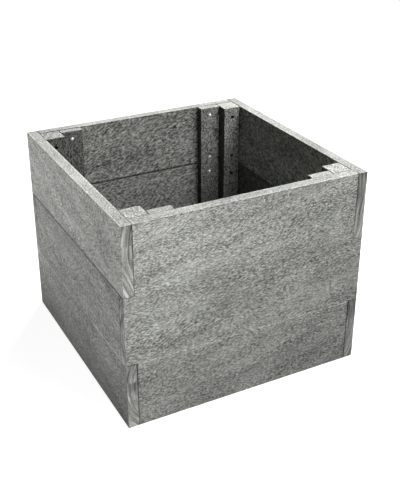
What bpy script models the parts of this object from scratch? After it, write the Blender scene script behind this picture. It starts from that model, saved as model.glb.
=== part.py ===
"""Square timber planter box, built from three courses of boards.

The box stands on the ground with its origin at the centre of its underside and +Z up. The
front wall faces -Y. Each course is four boards butted at the corners, and the courses are
turned in alternation, so that the end grain shows on the front in one course and on the sides
in the next. A square post stands in each corner, and beside it a batten ties the front or back
boards together. Bearers on the side walls carry five floor slats with drainage gaps.
"""

import math

import bmesh
import bpy
from mathutils import Matrix, Vector

# Overall sizes
BOX_WIDTH = 0.500
BOX_DEPTH = 0.500

# Wall boards
COURSE_NAMES = ("bottom", "middle", "top")
BOARD_WIDTH = 0.137
BOARD_THICKNESS = 0.021

# Corner posts and the battens beside them
POST_SIZE = 0.040
BATTEN_WIDTH = 0.046
BATTEN_THICKNESS = 0.017
POST_TO_BATTEN_GAP = 0.0015

# Floor
BEARER_HEIGHT = 0.045
BEARER_THICKNESS = 0.017
BEARER_GROUND_GAP = 0.012
SLAT_COUNT = 5
SLAT_THICKNESS = 0.015
SLAT_GAP = 0.008
SLAT_FIT_GAP = 0.0010
SLAT_NOTCH_GAP = 0.0020

# Wood screws with countersunk heads
SCREW_HEAD_RADIUS = 0.0043
SCREW_HEAD_HEIGHT = 0.0024
SCREW_HEAD_SINK = 0.0002
SCREW_SHANK_RADIUS = 0.0020
SCREW_TIP_HEIGHT = 0.0035
SCREW_DRIVE_RADIUS = 0.0016
SCREW_DRIVE_DEPTH = 0.0016
BATTEN_SCREW_LENGTH = 0.032
BATTEN_SCREW_EDGE = 0.018
BEARER_SCREW_LENGTH = 0.032
BEARER_SCREWS = 3
BEARER_SCREW_EDGE = 0.060

# Post fixings: a deep counterbored hole into the front or back boards, and a countersunk
# hole into the side boards, at different heights so that they miss each other
COUNTERBORE_RADIUS = 0.0040
COUNTERBORE_DEPTH = 0.020
POST_SCREW_EDGE = 0.022
POST_SCREW_BITE = 0.014
SIDE_SCREW_EDGE = 0.042
SIDE_SCREW_INSET = 0.012
SIDE_SCREW_BITE = 0.014

# Clearances and finish
TOUCH_GAP = 0.0003
HOLE_CLEARANCE = 0.0003
HOLE_END_GAP = 0.0010
CUT_OVERRUN = 0.0010
EASED_EDGE = 0.0010
ROUND_SIDES = 8

# Derived sizes
COURSE_PITCH = BOARD_WIDTH + TOUCH_GAP
BOX_HEIGHT = len(COURSE_NAMES) * COURSE_PITCH - TOUCH_GAP
INNER_X = BOX_WIDTH / 2 - BOARD_THICKNESS
INNER_Y = BOX_DEPTH / 2 - BOARD_THICKNESS
POST_OUTER_X = INNER_X - TOUCH_GAP
POST_OUTER_Y = INNER_Y - TOUCH_GAP
POST_INNER_X = POST_OUTER_X - POST_SIZE
POST_INNER_Y = POST_OUTER_Y - POST_SIZE
BATTEN_OUTER_X = POST_INNER_X - POST_TO_BATTEN_GAP
BATTEN_INNER_X = BATTEN_OUTER_X - BATTEN_WIDTH
BATTEN_INNER_Y = POST_OUTER_Y - BATTEN_THICKNESS
SCREW_HOLE_RADIUS = SCREW_SHANK_RADIUS + HOLE_CLEARANCE
HEAD_SEAT_RADIUS = SCREW_HEAD_RADIUS + HOLE_CLEARANCE
HEAD_SEAT_DEPTH = SCREW_HEAD_HEIGHT + SCREW_HEAD_SINK


def clear_scene():
    """Remove whatever the file opened with."""
    for obj in list(bpy.data.objects):
        bpy.data.objects.remove(obj, do_unlink=True)


def make_material(name, colour, roughness, metallic=0.0):
    """A plain Principled material."""
    material = bpy.data.materials.new(name)
    material.use_nodes = True
    shader = material.node_tree.nodes["Principled BSDF"]
    shader.inputs["Base Color"].default_value = (*colour, 1.0)
    shader.inputs["Roughness"].default_value = roughness
    shader.inputs["Metallic"].default_value = metallic
    material.diffuse_color = (*colour, 1.0)
    return material


def add_object(name, bm, material):
    """Put a bmesh into the scene as a named object and return it."""
    bmesh.ops.recalc_face_normals(bm, faces=bm.faces)
    mesh = bpy.data.meshes.new(name)
    bm.to_mesh(mesh)
    bm.free()
    mesh.materials.append(material)
    obj = bpy.data.objects.new(name, mesh)
    bpy.context.collection.objects.link(obj)
    return obj


def eased_block(low, high):
    """A bmesh cuboid between two corners, with small chamfers on all its edges."""
    size = Vector(high) - Vector(low)
    centre = (Vector(high) + Vector(low)) / 2
    bm = bmesh.new()
    bmesh.ops.create_cube(bm, size=1.0, matrix=Matrix.Translation(centre) @ Matrix.Diagonal((*size, 1.0)))
    bmesh.ops.bevel(bm, geom=bm.edges[:], offset=EASED_EDGE, segments=1, affect="EDGES")
    return bm


def turned(bm, profile, start, direction):
    """Add a closed turned shape whose (distance, radius) profile runs from start along direction."""
    turn = Vector(direction).to_track_quat("Z", "Y").to_matrix()
    rings = []
    for distance, radius in profile:
        if radius == 0:
            rings.append([bm.verts.new(Vector(start) + turn @ Vector((0, 0, distance)))])
            continue
        ring = []
        for side in range(ROUND_SIDES):
            angle = 2 * math.pi * (side + 0.5) / ROUND_SIDES
            offset = Vector((radius * math.cos(angle), radius * math.sin(angle), distance))
            ring.append(bm.verts.new(Vector(start) + turn @ offset))
        rings.append(ring)
    for ring, following in zip(rings, rings[1:]):
        for side in range(ROUND_SIDES):
            after = (side + 1) % ROUND_SIDES
            if len(ring) == 1:
                bm.faces.new((ring[0], following[side], following[after]))
            elif len(following) == 1:
                bm.faces.new((ring[side], following[0], ring[after]))
            else:
                bm.faces.new((ring[side], following[side], following[after], ring[after]))
    for ring in (rings[0], rings[-1]):
        if len(ring) > 1:
            bm.faces.new(ring)


def drilled(obj, cutters):
    """Cut a list of (profile, start, direction) holes out of an object with one Boolean."""
    bm = bmesh.new()
    for profile, start, direction in cutters:
        turned(bm, profile, start, direction)
    tool = add_object("cut_" + obj.name, bm, obj.data.materials[0])
    tool.hide_render = True
    tool.display_type = "WIRE"
    cut = obj.modifiers.new("Holes", "BOOLEAN")
    cut.operation = "DIFFERENCE"
    cut.solver = "EXACT"
    cut.object = tool


def pilot_hole(depth):
    """A blind hole for a screw's thread, with its profile starting outside the wood."""
    return [(-CUT_OVERRUN, SCREW_HOLE_RADIUS), (depth, SCREW_HOLE_RADIUS)]


def countersunk_hole(through):
    """A through hole whose mouth takes a screw's head just below the surface."""
    sink_slope = (HEAD_SEAT_RADIUS - SCREW_HOLE_RADIUS) / SCREW_HEAD_HEIGHT
    mouth = HEAD_SEAT_RADIUS + (SCREW_HEAD_SINK + CUT_OVERRUN) * sink_slope
    return [
        (-CUT_OVERRUN, mouth),
        (HEAD_SEAT_DEPTH, SCREW_HOLE_RADIUS),
        (through + CUT_OVERRUN, SCREW_HOLE_RADIUS),
    ]


def counterbored_hole(through):
    """A through hole with a wide deep mouth that hides the screw's head."""
    return [
        (-CUT_OVERRUN, COUNTERBORE_RADIUS),
        (COUNTERBORE_DEPTH, COUNTERBORE_RADIUS),
        (COUNTERBORE_DEPTH, SCREW_HOLE_RADIUS),
        (through + CUT_OVERRUN, SCREW_HOLE_RADIUS),
    ]


def screw_heights(edge):
    """Heights of the two fixings in each course, for a distance from the board's edges."""
    heights = []
    for course in range(len(COURSE_NAMES)):
        base = course * COURSE_PITCH
        heights += [base + edge, base + BOARD_WIDTH - edge]
    return heights


def course_heights(course, edge):
    """The two fixing heights that lie in one course."""
    return screw_heights(edge)[2 * course : 2 * course + 2]


def batten_centre_x():
    """Distance of a batten's middle from the box's middle."""
    return (BATTEN_OUTER_X + BATTEN_INNER_X) / 2


def bearer_screw_places():
    """Places along a bearer, evenly spread between its end margins."""
    reach = POST_INNER_Y - BEARER_SCREW_EDGE
    return [-reach + 2 * reach * step / (BEARER_SCREWS - 1) for step in range(BEARER_SCREWS)]


def bearer_screw_height():
    """Height of the screws that hold a bearer."""
    return BEARER_GROUND_GAP + BEARER_HEIGHT / 2


def make_end_wall(name, side, course, material):
    """A front (side -1) or back (side +1) board, which the batten and post screws bite into."""
    full_width = course % 2 == 1
    reach = BOX_WIDTH / 2 if full_width else INNER_X - TOUCH_GAP
    base = course * COURSE_PITCH
    faces = sorted((side * INNER_Y, side * BOX_DEPTH / 2))
    board = add_object(
        name, eased_block((-reach, faces[0], base), (reach, faces[1], base + BOARD_WIDTH)), material
    )
    batten_bite = BATTEN_SCREW_LENGTH + SCREW_HEAD_SINK - BATTEN_THICKNESS - TOUCH_GAP + HOLE_END_GAP
    post_x = (POST_OUTER_X + POST_INNER_X) / 2
    cutters = []
    for end in (-1, 1):
        for height in course_heights(course, BATTEN_SCREW_EDGE):
            start = (end * batten_centre_x(), side * INNER_Y, height)
            cutters.append((pilot_hole(batten_bite), start, (0, side, 0)))
        for height in course_heights(course, POST_SCREW_EDGE):
            start = (end * post_x, side * INNER_Y, height)
            cutters.append((pilot_hole(POST_SCREW_BITE), start, (0, side, 0)))
    drilled(board, cutters)


def make_side_wall(name, side, course, material):
    """A left (side -1) or right (side +1) board, which the posts and the bearer are screwed to."""
    full_depth = course % 2 == 0
    reach = BOX_DEPTH / 2 if full_depth else INNER_Y - TOUCH_GAP
    base = course * COURSE_PITCH
    faces = sorted((side * INNER_X, side * BOX_WIDTH / 2))
    board = add_object(
        name, eased_block((faces[0], -reach, base), (faces[1], reach, base + BOARD_WIDTH)), material
    )
    cutters = []
    for end in (-1, 1):
        for height in course_heights(course, SIDE_SCREW_EDGE):
            start = (side * INNER_X, end * (POST_INNER_Y + SIDE_SCREW_INSET), height)
            cutters.append((pilot_hole(SIDE_SCREW_BITE), start, (side, 0, 0)))
    if course == 0:
        bite = BEARER_SCREW_LENGTH + SCREW_HEAD_SINK - BEARER_THICKNESS - TOUCH_GAP + HOLE_END_GAP
        for place in bearer_screw_places():
            start = (side * INNER_X, place, bearer_screw_height())
            cutters.append((pilot_hole(bite), start, (side, 0, 0)))
    drilled(board, cutters)


def make_post(name, side_x, side_y, material):
    """A square corner post with its two rows of fixing holes."""
    xs = sorted((side_x * POST_INNER_X, side_x * POST_OUTER_X))
    ys = sorted((side_y * POST_INNER_Y, side_y * POST_OUTER_Y))
    post = add_object(name, eased_block((xs[0], ys[0], 0), (xs[1], ys[1], BOX_HEIGHT)), material)
    centre_x = side_x * (POST_OUTER_X + POST_INNER_X) / 2
    cutters = []
    for height in screw_heights(POST_SCREW_EDGE):
        start = (centre_x, side_y * POST_INNER_Y, height)
        cutters.append((counterbored_hole(POST_SIZE), start, (0, side_y, 0)))
    for height in screw_heights(SIDE_SCREW_EDGE):
        start = (side_x * POST_INNER_X, side_y * (POST_INNER_Y + SIDE_SCREW_INSET), height)
        cutters.append((countersunk_hole(POST_SIZE), start, (side_x, 0, 0)))
    drilled(post, cutters)


def make_screw(name, start, direction, length, material):
    """A countersunk wood screw whose head lies just below the surface at start."""
    profile = [
        (SCREW_DRIVE_DEPTH, 0),
        (SCREW_DRIVE_DEPTH, SCREW_DRIVE_RADIUS),
        (0, SCREW_DRIVE_RADIUS),
        (0, SCREW_HEAD_RADIUS),
        (SCREW_HEAD_HEIGHT, SCREW_SHANK_RADIUS),
        (length - SCREW_TIP_HEIGHT, SCREW_SHANK_RADIUS),
        (length, 0),
    ]
    bm = bmesh.new()
    sunk = Vector(start) + Vector(direction) * SCREW_HEAD_SINK
    turned(bm, profile, sunk, direction)
    add_object(name, bm, material)


def make_batten(name, side_x, side_y, material, steel):
    """A batten across the three boards of a front or back wall, with its six screws."""
    xs = sorted((side_x * BATTEN_INNER_X, side_x * BATTEN_OUTER_X))
    ys = sorted((side_y * BATTEN_INNER_Y, side_y * POST_OUTER_Y))
    batten = add_object(name, eased_block((xs[0], ys[0], 0), (xs[1], ys[1], BOX_HEIGHT)), material)
    cutters = []
    for number, height in enumerate(screw_heights(BATTEN_SCREW_EDGE), start=1):
        start = (side_x * batten_centre_x(), side_y * BATTEN_INNER_Y, height)
        cutters.append((countersunk_hole(BATTEN_THICKNESS), start, (0, side_y, 0)))
        make_screw(f"{name}_screw_{number}", start, (0, side_y, 0), BATTEN_SCREW_LENGTH, steel)
    drilled(batten, cutters)


def make_bearer(name, side, material, steel):
    """A floor bearer on a side wall between the posts, with its screws."""
    faces = sorted((side * (POST_OUTER_X - BEARER_THICKNESS), side * POST_OUTER_X))
    reach = POST_INNER_Y - TOUCH_GAP
    top = BEARER_GROUND_GAP + BEARER_HEIGHT
    bearer = add_object(
        name, eased_block((faces[0], -reach, BEARER_GROUND_GAP), (faces[1], reach, top)), material
    )
    cutters = []
    for number, place in enumerate(bearer_screw_places(), start=1):
        start = (side * (POST_OUTER_X - BEARER_THICKNESS), place, bearer_screw_height())
        cutters.append((countersunk_hole(BEARER_THICKNESS), start, (side, 0, 0)))
        make_screw(f"{name}_screw_{number}", start, (side, 0, 0), BEARER_SCREW_LENGTH, steel)
    drilled(bearer, cutters)


def notched_outline(low_y, high_y, side):
    """Plan of an end slat, cut back in two steps around a post and the batten beside it."""
    reach = INNER_X - SLAT_FIT_GAP
    wall, inner = (low_y, high_y) if side < 0 else (high_y, low_y)
    post_x = POST_INNER_X - SLAT_NOTCH_GAP
    post_y = side * (POST_INNER_Y - SLAT_NOTCH_GAP)
    batten_x = BATTEN_INNER_X - SLAT_NOTCH_GAP
    batten_y = side * (BATTEN_INNER_Y - SLAT_NOTCH_GAP)
    half = [(batten_x, wall), (batten_x, batten_y), (post_x, batten_y), (post_x, post_y), (reach, post_y)]
    half.append((reach, inner))
    return half + [(-x, y) for x, y in reversed(half)]


def make_slat(name, number, material):
    """A floor slat that lies across the two bearers."""
    depth = 2 * (INNER_Y - SLAT_FIT_GAP)
    width = (depth - (SLAT_COUNT - 1) * SLAT_GAP) / SLAT_COUNT
    low_y = -depth / 2 + number * (width + SLAT_GAP)
    high_y = low_y + width
    reach = INNER_X - SLAT_FIT_GAP
    outline = [(-reach, low_y), (reach, low_y), (reach, high_y), (-reach, high_y)]
    if number == 0:
        outline = notched_outline(low_y, high_y, -1)
    if number == SLAT_COUNT - 1:
        outline = notched_outline(low_y, high_y, 1)
    base = BEARER_GROUND_GAP + BEARER_HEIGHT + TOUCH_GAP
    bm = bmesh.new()
    face = bm.faces.new([bm.verts.new((x, y, base)) for x, y in outline])
    raised = bmesh.ops.extrude_face_region(bm, geom=[face])
    top = [item for item in raised["geom"] if isinstance(item, bmesh.types.BMVert)]
    bmesh.ops.translate(bm, verts=top, vec=(0, 0, SLAT_THICKNESS))
    add_object(name, bm, material)


def main():
    """Build the whole planter."""
    clear_scene()
    timber = make_material("weathered_hardwood", (0.36, 0.36, 0.34), 0.75)
    frame_timber = make_material("frame_timber", (0.33, 0.33, 0.31), 0.78)
    floor_timber = make_material("floor_timber", (0.30, 0.30, 0.28), 0.80)
    steel = make_material("stainless_screw", (0.70, 0.70, 0.70), 0.30, 1.0)
    for course, level in enumerate(COURSE_NAMES):
        make_end_wall(f"front_board_{level}", -1, course, timber)
        make_end_wall(f"back_board_{level}", 1, course, timber)
        make_side_wall(f"left_board_{level}", -1, course, timber)
        make_side_wall(f"right_board_{level}", 1, course, timber)
    for end, side_y in (("front", -1), ("back", 1)):
        for hand, side_x in (("left", -1), ("right", 1)):
            make_post(f"{end}_{hand}_post", side_x, side_y, frame_timber)
            make_batten(f"{end}_{hand}_batten", side_x, side_y, frame_timber, steel)
    for hand, side in (("left", -1), ("right", 1)):
        make_bearer(f"{hand}_bearer", side, floor_timber, steel)
    for number in range(SLAT_COUNT):
        make_slat(f"floor_slat_{number + 1}", number, floor_timber)


main()
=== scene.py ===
"""Looks of a square timber planter box, built round its packed construction model.

Every board, post, batten and slat is a rounded, slightly worn length of grey stained hardwood
with its grain carried in mesh attributes, and every screw is a turned and threaded piece.
"""

import math
import random
from collections import namedtuple

import bmesh
import bpy
import numpy as np
from bpy.props import FloatProperty, FloatVectorProperty, IntProperty, PointerProperty
from mathutils import Matrix, Vector, noise


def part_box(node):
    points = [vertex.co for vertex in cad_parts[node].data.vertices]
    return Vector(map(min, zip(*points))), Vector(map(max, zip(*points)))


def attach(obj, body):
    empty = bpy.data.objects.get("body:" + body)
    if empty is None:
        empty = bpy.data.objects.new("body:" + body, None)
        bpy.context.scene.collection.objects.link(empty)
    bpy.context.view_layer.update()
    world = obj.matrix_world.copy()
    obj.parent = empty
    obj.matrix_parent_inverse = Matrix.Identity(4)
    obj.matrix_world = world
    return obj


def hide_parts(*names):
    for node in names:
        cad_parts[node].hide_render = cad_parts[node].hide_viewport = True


bl_info = {
    "name": "Timber Planter Box",
    "version": (1, 0, 0),
    "blender": (4, 5, 0),
    "location": "View3D > Sidebar > Planter",
    "description": "Builds the finished look of a timber planter box round its construction model",
    "category": "Object",
}

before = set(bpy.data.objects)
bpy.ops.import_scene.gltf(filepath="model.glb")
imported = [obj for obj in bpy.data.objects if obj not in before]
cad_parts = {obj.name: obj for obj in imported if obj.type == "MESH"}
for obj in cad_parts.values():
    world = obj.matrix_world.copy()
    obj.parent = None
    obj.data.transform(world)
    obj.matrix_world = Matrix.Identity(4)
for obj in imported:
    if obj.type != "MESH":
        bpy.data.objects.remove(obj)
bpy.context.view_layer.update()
BODY = "root"
LEVELS = ("bottom", "middle", "top")
ENDS = ("front", "back")
HANDS = ("left", "right")
CORNERS = [(end, hand) for end in ENDS for hand in HANDS]
SLATS = range(1, 6)
X, Y, Z = 0, 1, 2

# How far a timber's face has shrunk back from its neighbour: (axis, side, distance), in metres.
SHRINKAGE = {
    "left_board_middle": [(Z, 1, 0.0008)],
    "back_board_middle": [(Z, 1, 0.0020)],
    "back_left_post": [(Y, 1, 0.0014)],
    "back_left_batten": [(Y, 1, 0.0014)],
    "back_right_post": [(X, 1, 0.0018)],
    "front_right_post": [(X, 1, 0.0015)],
    "back_board_top": [(X, 1, 0.0008), (Y, 0, 0.0010)],
    "front_board_bottom": [(Z, 1, 0.0003)],
}
# How light each course's boards are, and the timbers that differ from their like.
# Painted shade: the lower courses are darker, as the light falls off towards the ground.
COURSE_SHADES = {"top": 1.02, "middle": 0.94, "bottom": 0.88}
# Painted light and shade: the back left corner's post and batten darker as in shade, the rest as light
# falls on them.
TIMBER_SHADES = {
    "left_board_middle": 0.90,
    "left_board_bottom": 0.90,
    "back_left_post": 0.34,
    "back_left_batten": 0.45,
    "back_board_middle": 1.06,
    "back_right_batten": 0.78,
    "left_board_top": 1.11,
}
# Painted shade along a timber's joints: how dark (below 0, a pale painted highlight) and how wide.
USUAL_JOINT_SHADE = (0.55, 0.0022)
JOINT_SHADE = {
    "front_board_top": (0.0, 0.0022),
    "front_board_middle": (-0.2, 0.0022),
    "left_board_top": (0.8, 0.0022),
    "left_board_bottom": (0.3, 0.0022),
    "back_board_top": (0.95, 0.0065),
    "back_board_middle": (-0.6, 0.0030),
}
# Where the heart of the tree lies from a board's middle: (through its thickness, across its width).
HEARTS = {
    "left_board_top": (-0.20, -0.03),
    "left_board_bottom": (-0.14, -0.030),
    "right_board_top": (0.20, -0.03),
    "right_board_bottom": (0.16, -0.03),
}
# Painted shade: how light the darker inner faces and the uprights' X-facing faces are; and how light
# their tops are.
INNER_SHADES = {"right_board_top": 0.88, "right_board_middle": 0.28, "right_board_bottom": 0.28}
SIDE_SHADE = 0.14
TOP_SHADE = 0.98
TOP_TONE_POWER = 0.2
# How dark the inside of a bore is, a painted shade, and how deep a face must lie in the block to count as
# one.
BORE_SHADE = 0.35
BORE_INSET = 0.0007
# A board's end grain is darker towards its top edge, and has painted shade along its joints.
END_SHADE = {"low": 1.12, "high": 0.58}
END_SHADE_POWER = 1.5
END_SEAM_SHADE = (0.95, 0.0050)
END_SEAM_SHADE_RISE = 1.6
# The boards' top edges: a painted highlight along both sides, greyer between, and a painted shade line
# under them.
RIM_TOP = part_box("front_board_top")[1][Z]
RIM_SHADE = {"side": 1.26, "middle": 0.96}
RIM_SIDE = 0.0040
UNDER_RIM_SHADE = (0.38, 0.0034)
# On the tops, most of a joint's painted shade is taken back.
RIM_JOINT_PALING = 0.8
# A painted highlight along the top of a lower board's outer face: how pale and how wide.
CREST_HIGHLIGHT = {"left_board_bottom": 2.2, "front_board_bottom": 1.9}
CREST_HIGHLIGHT_WIDTH = 0.0026
# Painted shade: how the insides darken with depth.
DEPTH_SHADE_TOP = 0.38
DEPTH_SHADE = {"wall": 0.45, "upright": 0.96}
# Painted shade: how dark the outer faces become at the ground, and how high that darkening rises.
FOOT_SHADE = {"left_board_bottom": 0.72}
USUAL_FOOT_SHADE = 0.10
FOOT_HEIGHT = 0.10
# Arrises pale with wear and a painted highlight; the rim's pale the most, the others less.
RIM_WEAR_AND_SHEEN_HEIGHT = 0.405
LOW_WEAR_AND_SHEEN = 0.35
ARRIS_WIDTH = 0.0018
# An arris's wear: its usual amount, how much it wanders and is dented, and its limits.
USUAL_WEAR, WEAR_WANDER, WEAR_DENT, DENT_FROM = 0.70, 0.5, 0.5, 0.30
WEAR_LIMITS = (0.30, 1.15)
WEAR_SCALE, DENT_SCALE, DIP_SCALE = 55.0, 3.1, 24.0
# Extra mesh lines inside an arris, as a share of its radius, and beyond it.
ARRIS_MIDDLE = 0.586
EDGE_LINES = (0.0012, 0.0035)
# How near a neighbour counts as touching, and how squarely a face must look to count as facing.
JOINT_REACH = 0.0022
FACING = 0.7
# How far the heart of the tree may lie from the other timbers' middles, and how tones vary.
HEART_DEPTH = (0.045, 0.11)
HEART_DRIFT = 0.03
TONE_SPREAD = 0.03
NOTCH_GAP = 0.0020
SLIVER = 0.00002
# The noise under the grain: how often it repeats in a metre along, through and across a timber.
SWAY_SCALE, SWAY_REACH = (7.0, 9.0, 11.0), (0.0, 0.02, 0.045)
FIGURE_SCALE = (8.0, 30.0, 50.0)
MOTTLE_SCALE = (9.0, 16.0, 16.0)
SAWN_SCALE, SAWN_TURN = (120.0, 420.0, 420.0), math.radians(12)
PORE_PLACE, FLECK_PLACE = (7.3, 2.1, 5.7), (3.9, 8.8, 1.3)
SPOT_RANGE, SPOT_SCALE = (0.56, 0.70), 1.7
FINE_FIBRE_SCALE, FINE_FIBRE = (1.9, 2.3, 2.3), 0.9
SAWN_HEIGHT = 3.0
# The grain of a timber that doesn't say otherwise.
USUAL_GRAIN = {
    "End Grain": 0.0,
    "Rough": 0.0,
    "Smooth": 0.0,
    "Slope": 0.0,
    "Fibre Length": 0.006,
    "Fibre Width": 0.0020,
    "Fibre Contrast": 1.6,
    "Pore Contrast": 0.3,
    "Fleck Contrast": 0.3,
    "Figure Contrast": 0.4,
    "Mottle Contrast": 0.35,
    "Rough Contrast": 2.5,
    "Ring Width": 0.004,
    "Ring Contrast": 0.1,
    "End Ring Contrast": 2.4,
}
# The timbers' materials: name, how much arrises pale with wear and painted highlight, and where the grain
# isn't the usual one.
TIMBERS = {
    "board": (
        "stained board",
        0.45,
        {
            "Fibre Length": 0.0070,
            "Fibre Width": 0.00090,
            "Slope": math.radians(12),
            "Fibre Contrast": 1.95,
            "Pore Contrast": 0.16,
            "Fleck Contrast": 0.36,
            "Figure Contrast": 0.44,
            "Ring Width": 0.003,
            "End Ring Contrast": 1.7,
        },
    ),
    "frame": (
        "stained frame timber",
        0.25,
        {
            "Fibre Length": 0.0042,
            "Fibre Width": 0.0027,
            "Fibre Contrast": 4.6,
            "Fleck Contrast": 1.3,
            "Figure Contrast": 0.3,
            "End Ring Contrast": 0.6,
        },
    ),
    "floor": (
        "stained floor timber",
        0.25,
        {
            "Fibre Length": 0.010,
            "Fibre Width": 0.0022,
            "Fibre Contrast": 1.8,
            "Pore Contrast": 0.40,
            "Fleck Contrast": 0.2,
            "Figure Contrast": 0.3,
            "Mottle Contrast": 0.45,
        },
    ),
}
# How much weaker the grain is on end grain and on edges.
END_SOFTENING = -0.45
EDGE_SOFTENING = -0.1
# The growth rings: how they drift off round, and how often they vary in a turn.
RING_DRIFT_SCALE, RING_DRIFT = (3.5, 9.0, 9.0), 0.02
RING_TURN = 2.5
# The stain: the palest tone, how the tones bend towards dark, and the roughness from dark to pale.
TONE_LIMIT = 1.15
STAIN_CURVE = 1.6
DARK_ROUGHNESS, PALE_ROUGHNESS_FALL = 0.85, -0.15
TURNING_MARKS, STEEL_ROUGHNESS = (900.0, 900.0, 4000.0), (0.26, 0.40)
# The angles above which an edge stays sharp.
TIMBER_SHARP, STEEL_SHARP = math.radians(40), math.radians(35)
WHITE = (1.0, 1.0, 1.0, 1.0)
# The lamps: place, aim, size and watts. The world gives no light of its own.
WORLD_FILL = 0.0
LAMPS = [
    ("rear right softbox", (1.2, 1.2, 2.0), (0.0, 0.0, 0.3), (1.2, 1.2), 95.0),
    ("front right softbox", (0.75, -1.4, 2.0), (0.0, 0.0, 0.3), (1.2, 1.2), 36.0),
    ("low left softbox", (-1.6, 1.9, 0.20), (-0.1, 0.0, 0.25), (1.2, 0.4), 42.0),
    ("low front softbox", (-0.8, -2.3, 0.18), (-0.1, 0.0, 0.22), (1.6, 0.4), 9.0),
    ("front lamp", (-0.4, -0.78, 0.3), (-0.1, -0.25, 0.32), (0.5, 0.2), 2.0),
]
# The floor's colours, where its glow's rise starts and ends, how bright it is there, and its inner edge.
SHOWN_FLOOR, UNSEEN_FLOOR = (0.5, 0.5, 0.5, 1.0), (0.08, 0.08, 0.08, 1.0)
GLOW_REACH = (0.5, 1.6)
GLOW_STRENGTH = (0.86, 1.0)
# The glow is cut out on the square under the planter, a painted shadow there.
COVER_EDGE = 0.01


# ---------------- Settings ----------------


def metres(name, description, default, least=0.0):
    """A length that the user may change."""
    return FloatProperty(name=name, description=description, default=default, min=least, unit="LENGTH")


def tint(name, description, default):
    """A colour that the user may change."""
    return FloatVectorProperty(name=name, description=description, default=default, subtype="COLOR")


class PlanterTimberSettings(bpy.types.PropertyGroup):
    """Sizes and colours of the timber."""

    arris_radius: metres(
        "Arris radius", "Radius of the eased edges where they are most worn", 0.0007, 0.0002
    )
    joint_tightness: FloatProperty(
        name="Joint tightness",
        description="How much sharper the arrises are where timbers meet",
        default=0.60,
        min=0.0,
        max=1.0,
        subtype="FACTOR",
    )
    face_relief: metres("Face relief", "Depth of the planed faces' gentle unevenness", 0.00018)
    mesh_step: metres("Mesh step", "Spacing of the mesh lines along a face", 0.008, 0.002)
    board_dark: tint("Board, dark grain", "Darkest tone of the wall boards", (0.040, 0.041, 0.037))
    board_light: tint("Board, light grain", "Lightest tone of the wall boards", (0.760, 0.770, 0.722))
    frame_dark: tint("Frame, dark grain", "Darkest tone of the posts and battens", (0.100, 0.102, 0.092))
    frame_light: tint(
        "Frame, light grain", "Lightest tone of the posts and battens", (0.700, 0.708, 0.664)
    )
    floor_dark: tint(
        "Floor, dark grain", "Darkest tone of the bearers and floor slats", (0.050, 0.051, 0.046)
    )
    floor_light: tint(
        "Floor, light grain", "Lightest tone of the bearers and floor slats", (0.380, 0.385, 0.357)
    )


class PlanterScrewSettings(bpy.types.PropertyGroup):
    """Sizes and colours of the screws."""

    steel: tint("Steel", "Colour of the stainless screws", (0.93, 0.93, 0.91))
    head_radius: metres("Head radius", "Radius of the countersunk heads that lie flush", 0.0038, 0.002)
    sunk_head_radius: metres(
        "Sunk head radius", "Radius of the heads at the bottom of the counterbores", 0.0035, 0.002
    )
    crest_radius: metres("Thread radius", "Outer radius of the thread", 0.0020, 0.001)
    thread_pitch: metres("Thread pitch", "Rise of the thread in one turn", 0.0024, 0.001)
    counterbore_radius: metres(
        "Counterbore radius", "Radius of the deep holes that hide the posts' screws", 0.0040, 0.002
    )
    counterbore_depth: metres(
        "Counterbore depth", "Depth of the deep holes that hide the posts' screws", 0.020
    )
    sides: IntProperty(
        name="Sides",
        description="Number of sides of a turned screw or hole",
        default=24,
        min=12,
    )


class PlanterStageSettings(bpy.types.PropertyGroup):
    """Camera, lamps and floor."""

    camera_location: FloatVectorProperty(
        name="Camera location",
        description="Where the camera stands",
        default=(-0.7172, -1.4221, 1.0379),
        subtype="TRANSLATION",
        unit="LENGTH",
    )
    camera_azimuth: FloatProperty(
        name="Camera azimuth",
        description="Heading of the camera, zero when it looks along +Y",
        default=math.radians(-27.635),
        subtype="ANGLE",
    )
    camera_elevation: FloatProperty(
        name="Camera elevation",
        description="How steeply the camera looks down",
        default=math.radians(25.515),
        subtype="ANGLE",
    )
    camera_lens: FloatProperty(
        name="Lens",
        description="Focal length in millimetres",
        default=62.21,
        min=10.0,
    )
    camera_shift: FloatProperty(
        name="Vertical shift",
        description="Vertical shift of the frame",
        default=-0.0763,
    )
    covered_floor: metres(
        "Covered floor", "Half the side of the square of floor that the planter covers and darkens", 0.235
    )
    floor_size: metres("Floor size", "Side of the square floor", 14.0, 2.0)


# ---------------- Shader building ----------------


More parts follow.
